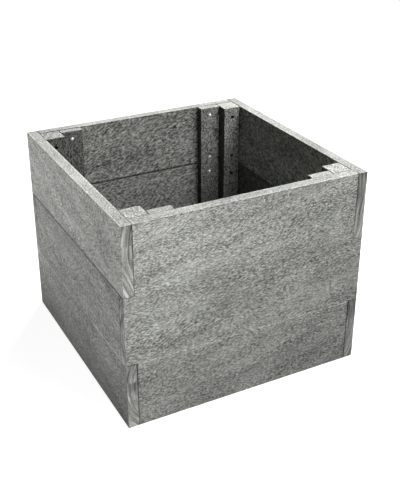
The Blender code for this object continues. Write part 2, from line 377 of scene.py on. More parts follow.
class Shading:
    """Adds nodes to one node tree and links them."""

    def __init__(self, tree):
        self.tree = tree

    def node(self, kind, inputs=None, **options):
        """Add a node, set its options, and link or set its inputs."""
        made = self.tree.nodes.new(kind)
        for key, value in options.items():
            setattr(made, key, value)
        for key, value in (inputs or {}).items():
            if isinstance(value, bpy.types.NodeSocket):
                self.tree.links.new(value, made.inputs[key])
            else:
                made.inputs[key].default_value = value
        return made

    def group(self, name, inputs):
        """Place a node group."""
        return self.node("ShaderNodeGroup", inputs, node_tree=bpy.data.node_groups[name])

    def maths(self, operation, *values, clamp=False):
        """A Math node's result."""
        made = self.node("ShaderNodeMath", dict(enumerate(values)), operation=operation)
        made.use_clamp = clamp
        return made.outputs[0]

    def vector(self, operation, *values):
        """A Vector Math node's vector result."""
        made = self.node("ShaderNodeVectorMath", dict(enumerate(values)), operation=operation)
        return made.outputs["Vector"]

    def noise(self, vector, scale=1.0, detail=2.0, roughness=0.5):
        """A noise value about one half."""
        inputs = {"Vector": vector, "Scale": scale, "Detail": detail, "Roughness": roughness}
        return self.node("ShaderNodeTexNoise", inputs).outputs["Fac"]

    def ramp(self, value, low, high, start=0.0, end=1.0):
        """Smoothly remap a value from low..high to start..end."""
        inputs = {"Value": value, "From Min": low, "From Max": high, "To Min": start, "To Max": end}
        made = self.node("ShaderNodeMapRange", inputs, interpolation_type="SMOOTHSTEP")
        return made.outputs[0]

    def mix(self, factor, first, second, blend="MIX"):
        """Mix two colours."""
        made = self.node("ShaderNodeMix", data_type="RGBA", blend_type=blend)
        for key, value in (("Factor_Float", factor), ("A_Color", first), ("B_Color", second)):
            socket = next(item for item in made.inputs if item.identifier == key)
            if isinstance(value, bpy.types.NodeSocket):
                self.tree.links.new(value, socket)
            else:
                socket.default_value = value
        return next(item for item in made.outputs if item.identifier == "Result_Color")

    def turn(self, vector, angle):
        """Turn a vector within the plane of a board's length and width."""
        inputs = {"Vector": vector, "Angle": angle}
        return self.node("ShaderNodeVectorRotate", inputs, rotation_type="Y_AXIS").outputs[0]

    def attribute(self, name, output="Fac"):
        """A mesh attribute's value."""
        return self.node("ShaderNodeAttribute", attribute_name=name).outputs[output]


def new_group(name, inputs, outputs):
    """A shader node group with named sockets; returns its Shading, its input node and its output node."""
    tree = bpy.data.node_groups.new(name, "ShaderNodeTree")
    for label, kind, default in inputs:
        socket = tree.interface.new_socket(name=label, in_out="INPUT", socket_type=kind)
        if default is not None:
            socket.default_value = default
    for label, kind in outputs:
        tree.interface.new_socket(name=label, in_out="OUTPUT", socket_type=kind)
    shading = Shading(tree)
    return shading, shading.node("NodeGroupInput"), shading.node("NodeGroupOutput")


def build_grain_group():
    """Grain of a hardwood, from coordinates whose first axis runs along the board."""
    value, vector = "NodeSocketFloat", "NodeSocketVector"
    inputs = [("Place", vector, None), *((label, value, usual) for label, usual in USUAL_GRAIN.items())]
    shading, given, result = new_group("Hardwood Grain", inputs, [("Tone", value), ("Height", value)])
    given = given.outputs
    place = given["Place"]
    swayed = swayed_place(shading, place, given["Slope"])
    long = shading.maths("DIVIDE", 1.0, given["Fibre Length"])
    wide = shading.maths("DIVIDE", 1.0, given["Fibre Width"])
    scale = shading.node("ShaderNodeCombineXYZ", {"X": long, "Y": wide, "Z": wide}).outputs[0]
    along = shading.vector("MULTIPLY", swayed, scale)
    fine = shading.noise(shading.vector("MULTIPLY", along, FINE_FIBRE_SCALE), detail=1.0)
    fine = shading.maths("SUBTRACT", fine, 0.5)
    fibre = shading.maths("MULTIPLY_ADD", fine, FINE_FIBRE, shading.noise(along, detail=1.0))
    pore, fleck = (
        shading.ramp(shading.noise(shading.vector("ADD", along, spot), SPOT_SCALE, 1.0), *SPOT_RANGE)
        for spot in (PORE_PLACE, FLECK_PLACE)
    )
    figure = shading.noise(shading.vector("MULTIPLY", swayed, FIGURE_SCALE), detail=2.0)
    mottle = shading.noise(shading.vector("MULTIPLY", place, MOTTLE_SCALE), detail=3.0, roughness=0.55)
    sawn = shading.vector("MULTIPLY", shading.turn(swayed, SAWN_TURN), SAWN_SCALE)
    sawn = shading.noise(sawn, detail=2.0, roughness=0.6)
    tone = grain_tone(shading, given, fibre, figure, mottle, sawn, pore, fleck)
    height = shading.maths("SUBTRACT", fibre, pore)
    sawn = shading.maths("MULTIPLY", sawn, given["Rough"])
    height = shading.maths("MULTIPLY_ADD", sawn, SAWN_HEIGHT, height)
    shading.tree.links.new(shading.maths("MAXIMUM", tone, 0.0), result.inputs["Tone"])
    shading.tree.links.new(height, result.inputs["Height"])


def swayed_place(shading, place, slope):
    """A place in the board, moved by the grain's wander and turned by its slope."""
    inputs = {"Vector": shading.vector("MULTIPLY", place, SWAY_SCALE), "Scale": 1.0, "Detail": 1.0}
    sway = shading.node("ShaderNodeTexNoise", inputs).outputs["Color"]
    sway = shading.vector("SUBTRACT", sway, (0.5, 0.5, 0.5))
    return shading.turn(
        shading.vector("ADD", place, shading.vector("MULTIPLY", sway, SWAY_REACH)), slope
    )


def grain_tone(shading, given, fibre, figure, mottle, sawn, pore, fleck):
    """The tone that the parts of the grain add up to."""
    ring = growth_ring(shading, given["Place"], given["Ring Width"])
    ring_contrast = shading.maths(
        "MULTIPLY_ADD", given["End Grain"], given["End Ring Contrast"], given["Ring Contrast"]
    )
    softening = shading.maths("MULTIPLY_ADD", given["End Grain"], END_SOFTENING, 1.0)
    softening = shading.maths("MULTIPLY_ADD", given["Smooth"], EDGE_SOFTENING, softening)

    def softened(part):
        return shading.maths("MULTIPLY", given[part + " Contrast"], softening)

    tone = 0.5
    for source, contrast in (
        (fibre, softened("Fibre")),
        (figure, softened("Figure")),
        (mottle, softened("Mottle")),
        (sawn, shading.maths("MULTIPLY", given["Rough"], given["Rough Contrast"])),
        (ring, ring_contrast),
    ):
        tone = shading.maths("MULTIPLY_ADD", shading.maths("SUBTRACT", source, 0.5), contrast, tone)
    tone = shading.maths("SUBTRACT", tone, shading.maths("MULTIPLY", pore, softened("Pore")))
    return shading.maths("ADD", tone, shading.maths("MULTIPLY", fleck, softened("Fleck")))


def growth_ring(shading, place, width):
    """Uneven growth rings about the heart of the tree."""
    drift = shading.noise(shading.vector("MULTIPLY", place, RING_DRIFT_SCALE), detail=1.0)
    parts = shading.node("ShaderNodeSeparateXYZ", {"Vector": place}).outputs
    through, across = (shading.maths("POWER", parts[axis], 2.0) for axis in "YZ")
    distance = shading.maths("SQRT", shading.maths("ADD", through, across))
    radius = shading.maths("MULTIPLY_ADD", drift, RING_DRIFT, distance)
    turned = shading.maths("MULTIPLY", shading.maths("ARCTAN2", parts["Z"], parts["Y"]), RING_TURN)
    inputs = {"X": shading.maths("DIVIDE", radius, width), "Y": turned, "Z": parts["X"]}
    rings = shading.node("ShaderNodeCombineXYZ", inputs).outputs[0]
    return shading.noise(rings, detail=2.0, roughness=0.6)


def build_finish_group():
    """Stain, wear and painted light and shade of planed timber: tones to colours, with paler arrises."""
    value, colour = "NodeSocketFloat", "NodeSocketColor"
    shading, given, result = new_group(
        "Timber Finish",
        [
            ("Tone", value, 0.5),
            ("Arris", value, 0.0),
            ("Shade", value, 1.0),
            ("Wear", value, 0.35),
            ("Dark", colour, None),
            ("Light", colour, None),
        ],
        [("Colour", colour), ("Roughness", value)],
    )
    given = given.outputs
    tone = shading.maths("MINIMUM", given["Tone"], TONE_LIMIT)
    stained = shading.mix(shading.maths("POWER", tone, STAIN_CURVE), given["Dark"], given["Light"])
    worn = shading.maths("MULTIPLY_ADD", given["Arris"], given["Wear"], 1.0)
    shaded = shading.vector("SCALE", stained)
    shading.tree.links.new(shading.maths("MULTIPLY", given["Shade"], worn), shaded.node.inputs["Scale"])
    shading.tree.links.new(shaded, result.inputs["Colour"])
    rough = shading.maths("MULTIPLY_ADD", tone, PALE_ROUGHNESS_FALL, DARK_ROUGHNESS)
    shading.tree.links.new(rough, result.inputs["Roughness"])


def timber_material(settings, kind):
    """A stained hardwood that reads its place, wear, and painted light and shade from the mesh."""
    name, wear, grain = TIMBERS[kind]
    dark, light = (getattr(settings, f"{kind}_{tone}") for tone in ("dark", "light"))
    if name in bpy.data.materials:
        return bpy.data.materials[name]
    material = bpy.data.materials.new(name)
    material.use_nodes = True
    tree = material.node_tree
    shading = Shading(tree)
    shader = tree.nodes["Principled BSDF"]
    given = {
        "Place": shading.attribute("grain", "Vector"),
        "End Grain": shading.attribute("end_grain"),
        "Rough": shading.attribute("rough"),
        "Smooth": shading.attribute("smooth"),
    }
    grained = shading.group("Hardwood Grain", {**given, **grain})
    finished = shading.group(
        "Timber Finish",
        {
            "Tone": grained.outputs["Tone"],
            "Arris": shading.attribute("arris"),
            "Shade": shading.attribute("shade"),
            "Wear": wear,
            "Dark": (*dark, 1.0),
            "Light": (*light, 1.0),
        },
    )
    bump = shading.node(
        "ShaderNodeBump", {"Height": grained.outputs["Height"], "Strength": 0.4, "Distance": 0.0006}
    )
    tree.links.new(finished.outputs["Colour"], shader.inputs["Base Color"])
    tree.links.new(finished.outputs["Roughness"], shader.inputs["Roughness"])
    tree.links.new(bump.outputs["Normal"], shader.inputs["Normal"])
    shader.inputs["Specular IOR Level"].default_value = 0.25
    return material


def steel_material(colour):
    """Stainless steel with fine turning marks."""
    if "stainless steel" in bpy.data.materials:
        return bpy.data.materials["stainless steel"]
    material = bpy.data.materials.new("stainless steel")
    material.use_nodes = True
    shading = Shading(material.node_tree)
    shader = material.node_tree.nodes["Principled BSDF"]
    shader.inputs["Base Color"].default_value = (*colour, 1.0)
    shader.inputs["Metallic"].default_value = 0.6
    place = shading.node("ShaderNodeTexCoord").outputs["Object"]
    marks = shading.noise(shading.vector("MULTIPLY", place, TURNING_MARKS), detail=2.0)
    shading.tree.links.new(shading.ramp(marks, 0.3, 0.7, *STEEL_ROUGHNESS), shader.inputs["Roughness"])
    return material


# ---------------- Timber ----------------


def mesh_lines(length, radius, step):
    """Distances of the mesh lines across one side: close together at the arrises, even between."""
    near = [0.0, radius * ARRIS_MIDDLE, radius, *(radius + line for line in EDGE_LINES)]
    far = [length - distance for distance in reversed(near)]
    gaps = max(1, math.ceil((far[0] - near[-1]) / step))
    between = [near[-1] + (far[0] - near[-1]) * gap / gaps for gap in range(1, gaps)]
    return near + between + far


def worn_point(point, low, high, radius, relief, seed):
    """Where a point of the sharp block lies once the arrises are worn round and the faces uneven."""
    core = Vector(min(max(point[i], low[i] + radius), high[i] - radius) for i in range(3))
    out = point - core
    if out.length == 0:
        return point
    direction = out.normalized()
    place = core * WEAR_SCALE + Vector((seed, 0.0, -seed))
    dent = max(0.0, noise.noise(place * DENT_SCALE) - DENT_FROM)
    wear = USUAL_WEAR + WEAR_WANDER * noise.noise(place) + WEAR_DENT * dent
    wear = min(max(wear, WEAR_LIMITS[0]), WEAR_LIMITS[1])
    worn = point.lerp(core + direction * radius, wear)
    dip = relief * (0.5 + 0.5 * noise.noise(point * DIP_SCALE + Vector((0.0, seed, 0.0))))
    return worn - direction * dip


def block_mesh(node, low, high, settings, seed):
    """A block's skin as a grid on each face, with worn arrises, tighter where timbers meet."""
    radius = settings.arris_radius
    lines = [mesh_lines(high[i] - low[i], radius, settings.mesh_step) for i in range(3)]
    bm = bmesh.new()
    made, sharp = {}, []

    def vertex(index):
        if index not in made:
            point = Vector(low[i] + lines[i][index[i]] for i in range(3))
            sharp.append(point)
            made[index] = bm.verts.new(worn_point(point, low, high, radius, settings.face_relief, seed))
        return made[index]

    for axis in range(3):
        first, second = [other for other in range(3) if other != axis]
        for end in (0, len(lines[axis]) - 1):
            for a in range(len(lines[first]) - 1):
                for b in range(len(lines[second]) - 1):
                    corners = []
                    for step_a, step_b in ((0, 0), (1, 0), (1, 1), (0, 1)):
                        index = [0, 0, 0]
                        index[axis], index[first], index[second] = end, a + step_a, b + step_b
                        corners.append(vertex(tuple(index)))
                    bm.faces.new(corners)
    for vert, point, tight in zip(list(bm.verts), sharp, touched(np.array(sharp), node)):
        if tight:
            vert.co = vert.co.lerp(point, settings.joint_tightness)
    bmesh.ops.recalc_face_normals(bm, faces=bm.faces)
    mesh = bpy.data.meshes.new(node + " timber")
    bm.to_mesh(mesh)
    bm.free()
    return mesh


def timber_nodes():
    """Names of all the timbers."""
    boards = [f"{wall}_board_{level}" for wall in (*ENDS, *HANDS) for level in LEVELS]
    uprights = [f"{end}_{hand}_{kind}" for end, hand in CORNERS for kind in ("post", "batten")]
    return boards + uprights + [f"{hand}_bearer" for hand in HANDS] + [f"floor_slat_{i}" for i in SLATS]


def touched(points, node):
    """Which points lie against a neighbouring timber."""
    result = np.zeros(len(points), dtype=bool)
    for other in timber_nodes():
        if other != node:
            low, high = (np.array(corner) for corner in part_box(other))
            result |= np.all((points > low - JOINT_REACH) & (points < high + JOINT_REACH), axis=1)
    return result


def fade(distance, reach):
    """1 at no distance, falling evenly to 0 at the reach."""
    return np.clip(1.0 - distance / reach, 0.0, 1.0)


class TimberSkin:
    """The points, faces and face corners of a timber's mesh, measured as arrays."""

    def __init__(self, mesh, node, low, high, grain_axis):
        self.node, self.grain_axis = node, grain_axis
        self.is_board, self.is_upright = "_board_" in node, grain_axis == Z
        self.low, self.high = np.array(low), np.array(high)
        sizes = self.high - self.low
        self.across = sorted((i for i in range(3) if i != grain_axis), key=lambda i: sizes[i])
        self.points = np.empty(len(mesh.vertices) * 3)
        mesh.vertices.foreach_get("co", self.points)
        self.points = self.points.reshape(-1, 3)
        self.inset = np.sort(self.depths(self.points), axis=1)[:, 1]
        self.joint = touched(self.points, node)
        self.normals = np.array([face.normal[:] for face in mesh.polygons])
        centres = np.array([face.center[:] for face in mesh.polygons])
        self.bore = np.min(self.depths(centres), axis=1) > BORE_INSET
        self.end_grain = np.where(self.bore, 0.0, np.abs(self.normals[:, grain_axis]) ** 2)
        thin, wide = self.across
        inward = -math.copysign(1.0, self.low[thin] + self.high[thin])
        self.inner = ~self.bore & (self.normals[:, thin] * inward > FACING) & self.is_board
        self.edge = np.abs(self.normals[:, wide]) ** 2 * self.is_board * ~self.bore
        self.corner_points = np.empty(len(mesh.loops), dtype=np.int32)
        mesh.loops.foreach_get("vertex_index", self.corner_points)
        counts = [face.loop_total for face in mesh.polygons]
        self.corner_faces = np.repeat(np.arange(len(counts)), counts)

    def depths(self, points):
        """How far points lie in from the block's faces along each axis."""
        return np.minimum(points - self.low, self.high - points)


def face_shade(skin, tone):
    """How light each face is, with painted shade in bores, on inner faces and the uprights' sides, and
    each timber's tone.
    """
    shade = np.where(skin.bore, BORE_SHADE, 1.0)
    shade *= np.where(skin.inner, INNER_SHADES.get(skin.node, 1.0), 1.0)
    end_tone = 1.0 if skin.is_board else TOP_SHADE * tone**TOP_TONE_POWER
    shade *= np.where(skin.end_grain > 0.5, end_tone, tone)
    if skin.is_upright:
        shade *= np.where(np.abs(skin.normals[:, X]) > FACING, SIDE_SHADE, 1.0)
    return shade


def end_shade(skin, inset, joint, height):
    """How light a board's end grain is: darker towards its top, with painted shade along its joints."""
    rise = (height - skin.low[Z]) / (skin.high[Z] - skin.low[Z])
    darkness, width = END_SEAM_SHADE
    seam_darkening = fade(inset, width) * joint * darkness * np.clip(END_SEAM_SHADE_RISE * rise, 0, 1)
    span = END_SHADE["high"] - END_SHADE["low"]
    return (END_SHADE["low"] + span * rise**END_SHADE_POWER) * (1.0 - seam_darkening)


def board_shade(skin, painted_joint_shade, indoors):
    """How end grain and the painted light and shade of foot, crest and rim change a board's face corners.
    """
    points, faces = skin.corner_points, skin.corner_faces
    inset, joint, height = skin.inset[points], skin.joint[points], skin.points[points, Z]
    ends, upward = skin.end_grain[faces] > 0.5, skin.normals[faces, Z] > FACING
    outer = ~(indoors[faces] | ends)
    shade = np.where(ends, end_shade(skin, inset, joint, height), 1.0)
    shade /= np.where(upward, 1.0 - RIM_JOINT_PALING * painted_joint_shade[points], 1.0)
    foot = fade(height, FOOT_HEIGHT) * FOOT_SHADE.get(skin.node, USUAL_FOOT_SHADE)
    shade *= np.where(outer, 1.0 - foot, 1.0)
    crest = fade(skin.high[Z] - height, CREST_HIGHLIGHT_WIDTH) * CREST_HIGHLIGHT.get(skin.node, 0.0)
    shade *= np.where(outer & ~upward, 1.0 + crest, 1.0)
    side = fade(inset, RIM_SIDE) * ~joint
    rim = RIM_SHADE["middle"] + (RIM_SHADE["side"] - RIM_SHADE["middle"]) * side
    darkness, width = UNDER_RIM_SHADE
    return shade * np.where(upward, rim, 1.0 - fade(RIM_TOP - height, width) * darkness)


def timber_shade(skin, tone):
    """How light each face corner is, with its painted light and shade."""
    points, faces = skin.corner_points, skin.corner_faces
    darkness, width = JOINT_SHADE.get(skin.node, USUAL_JOINT_SHADE)
    painted_joint_shade = fade(skin.inset, width) * skin.joint * darkness
    indoors = skin.inner | skin.is_upright
    depth = np.clip((DEPTH_SHADE_TOP - skin.points[:, Z]) / DEPTH_SHADE_TOP, 0.0, 1.0)
    inner_depth_shade = DEPTH_SHADE["wall" if skin.is_board else "upright"] * depth[points] * indoors[faces]
    shade = (1.0 - painted_joint_shade)[points] * face_shade(skin, tone)[faces] * (1.0 - inner_depth_shade)
    return shade * board_shade(skin, painted_joint_shade, indoors) if skin.is_board else shade


def mark_timber(mesh, skin, offset, tone):
    """Store where each point lies in the tree, its wear and painted highlight, end grain, roughness, and
    painted light and shade.
    """
    middle = (skin.low + skin.high) / 2
    place = (skin.points - middle)[:, [skin.grain_axis, *skin.across]] + np.array(offset)
    arris = fade(skin.inset, ARRIS_WIDTH) * ~skin.joint
    arris *= np.where(skin.points[:, Z] > RIM_WEAR_AND_SHEEN_HEIGHT, 1.0, LOW_WEAR_AND_SHEEN)
    for name, kind, domain, values in (
        ("grain", "FLOAT_VECTOR", "POINT", place),
        ("arris", "FLOAT", "POINT", arris),
        ("end_grain", "FLOAT", "FACE", skin.end_grain),
        ("rough", "FLOAT", "FACE", skin.inner),
        ("smooth", "FLOAT", "FACE", skin.edge),
        ("shade", "FLOAT", "CORNER", timber_shade(skin, tone)),
    ):
        attribute = mesh.attributes.new(name, kind, domain)
        key = "vector" if kind == "FLOAT_VECTOR" else "value"
        attribute.data.foreach_set(key, np.asarray(values, dtype=np.float32).ravel())


def turn(bm, profile, matrix, sides):
    """Add a turned shape. The profile is (height, radius) from end to end; a radius may vary by angle."""
    rings = []
    for height, radius in profile:
        if radius == 0:
            rings.append([bm.verts.new(matrix @ Vector((0, 0, height)))])
            continue
        ring = []
        for side in range(sides):
            angle = 2 * math.pi * side / sides
            reach = radius(angle) if callable(radius) else radius
            point = Vector((reach * math.cos(angle), reach * math.sin(angle), height))
            ring.append(bm.verts.new(matrix @ point))
        rings.append(ring)
    for ring, following in zip(rings, rings[1:]):
        for side in range(sides):
            after = (side + 1) % sides
            if len(ring) == 1:
                bm.faces.new((ring[0], following[side], following[after]))
            elif len(following) == 1:
                bm.faces.new((ring[side], following[0], ring[after]))
            else:
                bm.faces.new((ring[side], following[side], following[after], ring[after]))
    for ring in (rings[0], rings[-1]):
        if len(ring) > 1:
            bm.faces.new(ring)


def add_box(bm, low, high):
    """Add a plain block to a cutting tool."""
    middle = (Vector(low) + Vector(high)) / 2
    size = Matrix.Diagonal((*(Vector(high) - Vector(low)), 1.0))
    bmesh.ops.create_cube(bm, size=1.0, matrix=Matrix.Translation(middle) @ size)


def place_object(name, data):
    """Add an object to the scene."""
    made = bpy.data.objects.new(name, data)
    bpy.context.collection.objects.link(made)
    return made


def cut_away(mesh, tool, overlapping):
    """Cut a tool's shapes, which may overlap each other, out of a mesh."""
    bmesh.ops.recalc_face_normals(tool, faces=tool.faces)
    tool_mesh = bpy.data.meshes.new("tool")
    tool.to_mesh(tool_mesh)
    body, cutter = place_object("timber blank", mesh), place_object("tool", tool_mesh)
    cut = body.modifiers.new("Cut", "BOOLEAN")
    cut.operation = "DIFFERENCE"
    cut.solver = "EXACT"
    cut.use_self = overlapping
    cut.object = cutter
    evaluated = body.evaluated_get(bpy.context.evaluated_depsgraph_get())
    result = bpy.data.meshes.new_from_object(evaluated)
    for obj in (body, cutter):
        bpy.data.objects.remove(obj, do_unlink=True)
    tidy_cuts(result)
    return result


def tidy_cuts(mesh):
    """Split the many-sided faces that a cut leaves, with no slivers left over."""
    bm = bmesh.new()
    bm.from_mesh(mesh)
    bmesh.ops.remove_doubles(bm, verts=bm.verts, dist=SLIVER)
    bmesh.ops.dissolve_degenerate(bm, edges=bm.edges, dist=SLIVER)
    many_sided = [face for face in bm.faces if len(face.verts) > 4]
    bmesh.ops.triangulate(bm, faces=many_sided, ngon_method="BEAUTY")
    bm.to_mesh(mesh)
    bm.free()


def vector_box(node):
    """A node's box as two vectors."""
    return [Vector(corner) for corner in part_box(node)]


def trimmed_box(node):
    """A timber's box, less what it has shrunk."""
    corners = [list(corner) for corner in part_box(node)]
    for axis, side, distance in SHRINKAGE.get(node, ()):
        corners[side][axis] += distance if side == 0 else -distance
    return corners


def slat_notches(node):
    """The spaces to cut from a floor slat so that it clears the posts and battens."""
    slat_low, slat_high = vector_box(node)
    gap = Vector((NOTCH_GAP,) * 3)
    for end, hand in CORNERS:
        for kind in ("post", "batten"):
            low, high = vector_box(f"{end}_{hand}_{kind}")
            if high.y > slat_low.y and low.y < slat_high.y:
                yield low - gap, high + gap


def make_timber(context, node, grain_axis, material, tone=1.0, notches=()):
    """Build the finished piece that stands for one timber node."""
    settings = context.scene.planter_timber
    low, high = trimmed_box(node)
    random.seed("grain of " + node)
    seed = random.uniform(0, 100)
    usual_heart = (random.uniform(*HEART_DEPTH), random.uniform(-HEART_DRIFT, HEART_DRIFT))
    heart = HEARTS.get(node, usual_heart)
    # The listed tone is painted light and shade; the random spread is real variation in tone.
    tone *= TIMBER_SHADES.get(node, 1.0) * random.uniform(1.0 - TONE_SPREAD, 1.0 + TONE_SPREAD)
    mesh = block_mesh(node, low, high, settings, seed)
    tool = bmesh.new()
    for screw in all_screws(context.scene.planter_screws):
        if passes_through(screw, low, high):
            add_bore(tool, screw, context.scene.planter_screws)
    for notch in notches:
        add_box(tool, *notch)
    if tool.faces:
        mesh = cut_away(mesh, tool, bool(notches))
    tool.free()
    skin = TimberSkin(mesh, node, low, high, grain_axis)
    mark_timber(mesh, skin, (random.uniform(0, 20), *heart), tone)
    mesh.materials.clear()
    mesh.materials.append(material)
    mesh.shade_smooth()
    mesh.set_sharp_from_angle(angle=TIMBER_SHARP)
    return add_piece(node + "_timber", mesh, node)


def add_piece(name, mesh, node=None):
    """Add one piece of the planter, standing for a node if it is given."""
    piece = place_object(name, mesh)
    if node:
        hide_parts(node)
    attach(piece, BODY)
    return piece


# ---------------- Screws ----------------

# start is the middle of the head's rim; sunk is how far that lies below the timber's face.
Screw = namedtuple("Screw", "name node start direction length head sunk")

BATTEN_SCREWS = 6
BEARER_SCREWS = 3
# Where the post and side screws lie from a board's edges and the post's inner face.
POST_SCREW_EDGE = 0.022
POST_SCREW_BITE = 0.014
SIDE_SCREW_EDGE = 0.042
SIDE_SCREW_INSET = 0.012
HEAD_FLUSH = 0.0002
HEAD_HEIGHT = 0.0024
HEAD_DOME = 0.0012
BORE_CLEARANCE = 0.0003
SLAT_SCREW_LENGTH = 0.035
LEAST_BITE = 0.0005
LOBE_DEPTH = 0.17
THREAD_SHARPNESS = 2.6
# Shares of the thread's and the head's radius.
ROOT_SHARE = 0.72
DRIVE_SHARE = 0.34
TAPER_SHARE, POINT_SHARE = 3.2, 0.12
THREAD_START = 0.0025
LEVELS_PER_TURN = 5
BORE_OVERSHOOT, BORE_POINT = 0.001, 0.002


def along(axis, sign):
    """A unit vector along an axis."""
    return Vector(float(sign) if i == axis else 0.0 for i in range(3))


def node_screw(node, axis, sign, settings):
    """The screw that stands for a node and points along an axis."""
    low, high = vector_box(node)
    start = (low + high) / 2
    start[axis] = low[axis] if sign > 0 else high[axis]
    length = high[axis] - low[axis]
    return Screw(
        node + "_turned", node, start, along(axis, sign), length, settings.head_radius, HEAD_FLUSH
    )


def post_screws(end, hand, settings):
    """The screws that hold a corner post to its two walls."""
    low, high = vector_box(f"{end}_{hand}_post")
    sign_x, sign_y = (1 if hand == "right" else -1), (1 if end == "back" else -1)
    inner = Vector((low.x if sign_x > 0 else high.x, low.y if sign_y > 0 else high.y, 0.0))
    sunk = settings.counterbore_depth
    length = high.y - low.y - sunk + POST_SCREW_BITE
    number = 0
    for level in LEVELS:
        base, top = (corner[Z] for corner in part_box(f"front_board_{level}"))
        for post_z, side_z in (
            (base + POST_SCREW_EDGE, base + SIDE_SCREW_EDGE),
            (top - POST_SCREW_EDGE, top - SIDE_SCREW_EDGE),
        ):
            number += 1
            post_start = ((low.x + high.x) / 2, inner.y + sign_y * sunk, post_z)
            side_start = (inner.x + sign_x * sunk, inner.y + sign_y * SIDE_SCREW_INSET, side_z)
            for kind, axis, sign, start in (
                ("post", Y, sign_y, Vector(post_start)),
                ("side", X, sign_x, Vector(side_start)),
            ):
                name = f"{end}_{hand}_{kind}_screw_{number}"
                yield Screw(name, None, start, along(axis, sign), length, settings.sunk_head_radius, sunk)


def slat_screws(settings):
    """The screws that hold the floor slats down to the bearers."""
    for hand in HANDS:
        low, high = vector_box(f"{hand}_bearer")
        for i in SLATS:
            slat_low, slat_high = vector_box(f"floor_slat_{i}")
            y = (max(slat_low.y, low.y) + min(slat_high.y, high.y)) / 2
            start = Vector(((low.x + high.x) / 2, y, slat_high.z - HEAD_FLUSH))
            yield Screw(
                f"floor_slat_{i}_{hand}_screw",
                None, start, along(Z, -1), SLAT_SCREW_LENGTH, settings.head_radius, HEAD_FLUSH,
            )


SCREWS = []


def all_screws(settings):
    """Every screw of the planter."""
    if not SCREWS:
        for end, hand in CORNERS:
            sign = 1 if end == "back" else -1
            for i in range(1, BATTEN_SCREWS + 1):
                SCREWS.append(node_screw(f"{end}_{hand}_batten_screw_{i}", Y, sign, settings))
            SCREWS.extend(post_screws(end, hand, settings))
        for hand in HANDS:
            sign = 1 if hand == "right" else -1
            for i in range(1, BEARER_SCREWS + 1):
                SCREWS.append(node_screw(f"{hand}_bearer_screw_{i}", X, sign, settings))
        SCREWS.extend(slat_screws(settings))
    return SCREWS


def passes_through(screw, low, high):
    """Whether a screw passes into a timber."""
    axis = max(range(3), key=lambda i: abs(screw.direction[i]))
    ends = sorted((screw.start[axis], screw.start[axis] + screw.direction[axis] * screw.length))
    inside = all(low[i] < screw.start[i] < high[i] for i in range(3) if i != axis)
    return inside and ends[1] > low[axis] + LEAST_BITE and ends[0] < high[axis] - LEAST_BITE


def screw_matrix(screw):
    """Stands a turned shape on a screw's start, along its direction."""
    return Matrix.Translation(screw.start) @ screw.direction.to_track_quat("Z", "Y").to_matrix().to_4x4()


def add_bore(bm, screw, settings):
    """Add a screw's hole, with its countersink or counterbore, to a cutting tool."""
    shank = settings.crest_radius + BORE_CLEARANCE
    mouth = settings.counterbore_radius if screw.sunk > HEAD_HEIGHT else screw.head + BORE_CLEARANCE
    profile = [
        (-screw.sunk - BORE_OVERSHOOT, 0),
        (-screw.sunk - BORE_OVERSHOOT, mouth),
        (0.0, mouth),
        (HEAD_HEIGHT, shank),
        (screw.length - BORE_POINT, shank),
        (screw.length + BORE_OVERSHOOT, 0),
    ]
    turn(bm, profile, screw_matrix(screw), settings.sides)


def lobed(radius):
    """A six-lobed outline."""
    return lambda angle: radius * (1.0 + LOBE_DEPTH * math.cos(6 * angle))


def threaded(height, crest, root, pitch):
    """One level of a thread."""
    def radius(angle):
        rise = (height / pitch - angle / (2 * math.pi)) % 1.0
        return root + (crest - root) * max(0.0, 1.0 - THREAD_SHARPNESS * abs(rise - 0.5))
    return radius


def screw_mesh(length, head, settings, material):
    """A screw with a domed head, a lobed drive and a threaded shank, its head's rim at the origin."""
    name = f"screw {length * 1000:.1f} by {head * 1000:.1f}"
    if name in bpy.data.meshes:
        return bpy.data.meshes[name]
    crest, pitch = settings.crest_radius, settings.thread_pitch
    root = crest * ROOT_SHARE
    drive = head * DRIVE_SHARE
    profile = [
        (0.0012, 0),
        (0.0011, drive * 0.5),
        (0.0008, lobed(drive * 0.9)),
        (HEAD_DOME * -0.94, lobed(drive)),
        (HEAD_DOME * -0.90, lobed(drive * 1.06)),
        (HEAD_DOME * -0.66, head * 0.62),
        (HEAD_DOME * -0.34, head * 0.82),
        (0.0, head * 0.96),
        (0.0002, head),
        (0.00045, head * 0.985),
        (HEAD_HEIGHT, crest * 0.86),
        (HEAD_HEIGHT + 0.002, root),
    ]
    taper = TAPER_SHARE * crest
    step = pitch / LEVELS_PER_TURN
    height = HEAD_HEIGHT + THREAD_START
    while height < length - taper * POINT_SHARE:
        point = min(1.0, (length - height) / taper)
        profile.append((height, threaded(height, crest * point, root * point, pitch)))
        height += step
    profile.append((length, 0))
    bm = bmesh.new()
    turn(bm, profile, Matrix.Identity(4), settings.sides)
    bmesh.ops.recalc_face_normals(bm, faces=bm.faces)
    mesh = bpy.data.meshes.new(name)
    bm.to_mesh(mesh)
    bm.free()
    mesh.materials.append(material)
    mesh.shade_smooth()
    mesh.set_sharp_from_angle(angle=STEEL_SHARP)
    return mesh


# ---------------- Operators ----------------


class PLANTER_OT_node_groups(bpy.types.Operator):
    """Build the shared grain and finish effects"""

    bl_idname = "planter.node_groups"
    bl_label = "Shared Effects"

    def execute(self, context):
        build_grain_group()
        build_finish_group()
        return {"FINISHED"}


